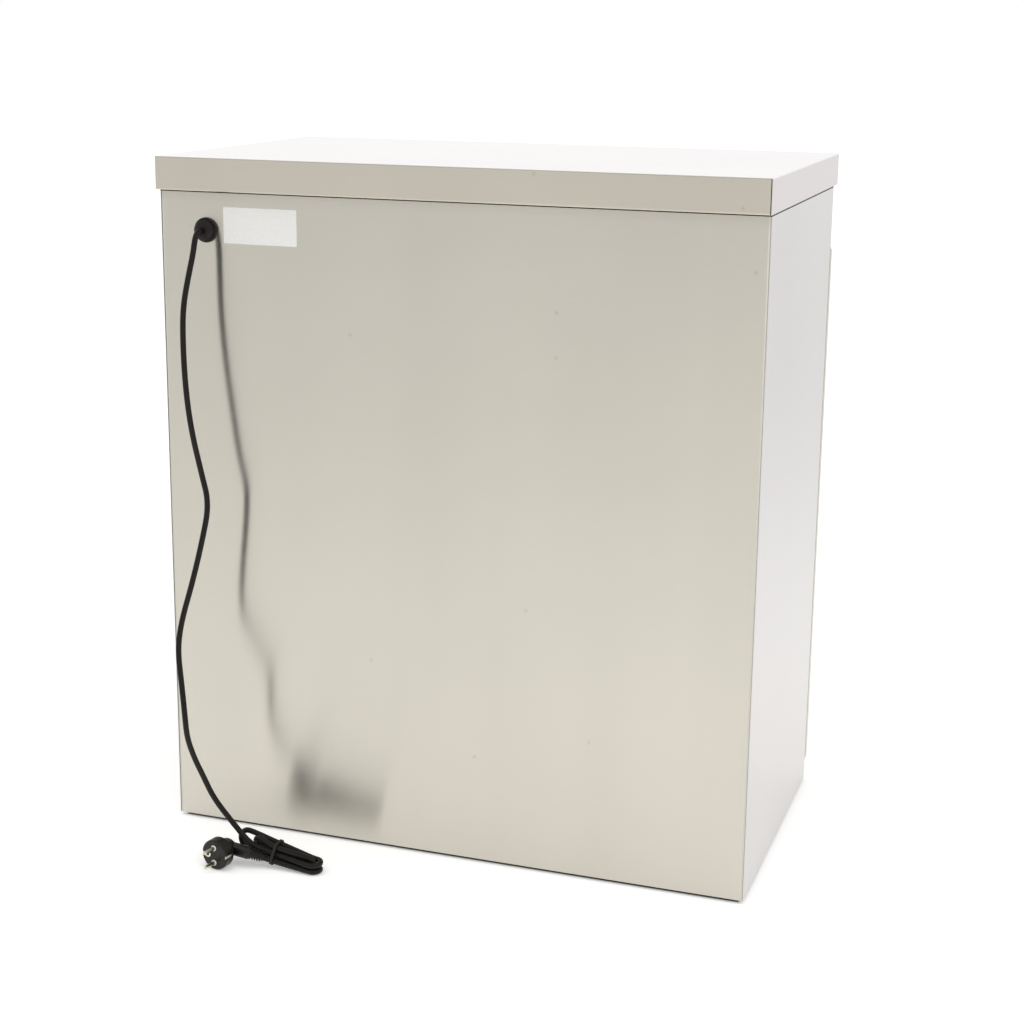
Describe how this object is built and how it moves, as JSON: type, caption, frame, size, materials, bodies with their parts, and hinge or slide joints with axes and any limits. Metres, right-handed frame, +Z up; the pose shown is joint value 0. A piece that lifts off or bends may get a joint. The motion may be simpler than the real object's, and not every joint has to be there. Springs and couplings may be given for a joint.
{
  "type": "plate warmer",
  "caption": "Floor-standing stainless plate warming cabinet with hinged doors, wire shelves over a heating element, a thermostat knob and a tied power cord at the back.",
  "frame": {"origin": "on the floor, below the middle of the cabinet's outer box, cord and plug left out", "axes": "+Z up, -Y out of the doors, +Y out of the flat back, +X to the right as seen from the doors"},
  "size_m": [0.75, 0.5999, 0.855],
  "materials": {
    "casing_steel": "horizontally brushed stainless sheet",
    "liner_steel": "plain stainless sheet",
    "insulation_wool": "mineral wool slab",
    "element_sheath": "heat-darkened steel sheath",
    "chrome_wire": "bright chromed wire",
    "handle_steel": "satin steel bar",
    "hardware_zinc": "zinc-plated steel",
    "copper_bulb": "bare copper",
    "black_plastic": "moulded black nylon",
    "cream_plastic": "moulded heat-resistant plastic",
    "nylon": "natural nylon",
    "lamp_lens": "clear amber-red lens",
    "gasket_rubber": "silicone seal",
    "cord_rubber": "smooth black cord sheath",
    "wire_sleeve": "insulated single wires",
    "tie_plastic": "black binding strap",
    "plug_rubber": "moulded black plug",
    "contact_brass": "plated brass contacts"
  },
  "bodies": {
    "cabinet": {"back_panel": "casing_steel", "base_pan": "casing_steel", "bulb_clips": "hardware_zinc", "cable_gland": "black_plastic", "control_panel": "casing_steel", "cord_free": "cord_rubber", "cord_hank": "cord_rubber", "cord_tie": "tie_plastic", "element_deck": "liner_steel", "element_supports": "liner_steel", "foot_nuts": "hardware_zinc", "gland_nut": "hardware_zinc", "glide_feet": "black_plastic", "header_rail": "casing_steel", "heating_element": "element_sheath", "hinge_brackets": "hardware_zinc", "hinge_pins": "hardware_zinc", "insulation": "insulation_wool", "lid": "casing_steel", "liner_back": "liner_steel", "liner_ceiling": "liner_steel", "liner_floor": "liner_steel", "liner_left": "liner_steel", "liner_right": "liner_steel", "magnet_catches": "black_plastic", "pilot_lamp": "lamp_lens", "plug": "plug_rubber", "plug_contacts": "contact_brass", "safety_cutout": "cream_plastic", "shelf_clips": "liner_steel", "shelf_uprights": "liner_steel", "side_panel_left": "casing_steel", "side_panel_right": "casing_steel", "sill_rail": "casing_steel", "supply_lead": "cord_rubber", "switch_body": "black_plastic", "terminal_block": "cream_plastic", "thermostat_body": "cream_plastic", "thermostat_bulb": "copper_bulb", "wire_loom": "wire_sleeve"},
    "door_left": {"door_skin_left": "casing_steel", "door_inner_left": "casing_steel", "door_bushes_left": "nylon", "door_gasket_left": "gasket_rubber", "door_handle_left": "handle_steel", "door_handle_screws_left": "hardware_zinc", "door_strike_left": "hardware_zinc"},
    "door_right": {"door_skin_right": "casing_steel", "door_inner_right": "casing_steel", "door_bushes_right": "nylon", "door_gasket_right": "gasket_rubber", "door_handle_right": "handle_steel", "door_handle_screws_right": "hardware_zinc", "door_strike_right": "hardware_zinc"},
    "shelf_lower": {"shelf_lower": "chrome_wire"},
    "shelf_upper": {"shelf_upper": "chrome_wire"},
    "knob": {"thermostat_knob": "black_plastic", "thermostat_spindle": "hardware_zinc"},
    "rocker": {"rocker_key": "black_plastic"}
  },
  "joints": [
    {"name": "door_right_hinge", "type": "hinge", "parent": "cabinet", "child": "door_right", "pos_m": [0.368, -0.193, 0.382], "axis": [0, 0, 1], "range_deg": [0, 120]},
    {"name": "door_left_hinge", "type": "hinge", "parent": "cabinet", "child": "door_left", "pos_m": [-0.368, -0.193, 0.382], "axis": [0, 0, -1], "range_deg": [0, 120]},
    {"name": "knob_turn", "type": "hinge", "parent": "cabinet", "child": "knob", "pos_m": [0.3, -0.199, 0.77625], "axis": [0, 1, 0], "range_deg": [0, 270]},
    {"name": "rocker_press", "type": "hinge", "parent": "cabinet", "child": "rocker", "pos_m": [0.215, -0.1945, 0.77625], "axis": [-1, 0, 0], "range_deg": [0, 20]},
    {"name": "shelf_lower_lift", "type": "slide", "parent": "cabinet", "child": "shelf_lower", "axis": [0, 0, 1], "range_m": [0, 0.015]},
    {"name": "shelf_upper_lift", "type": "slide", "parent": "cabinet", "child": "shelf_upper", "axis": [0, 0, 1], "range_m": [0, 0.015]}
  ]
}
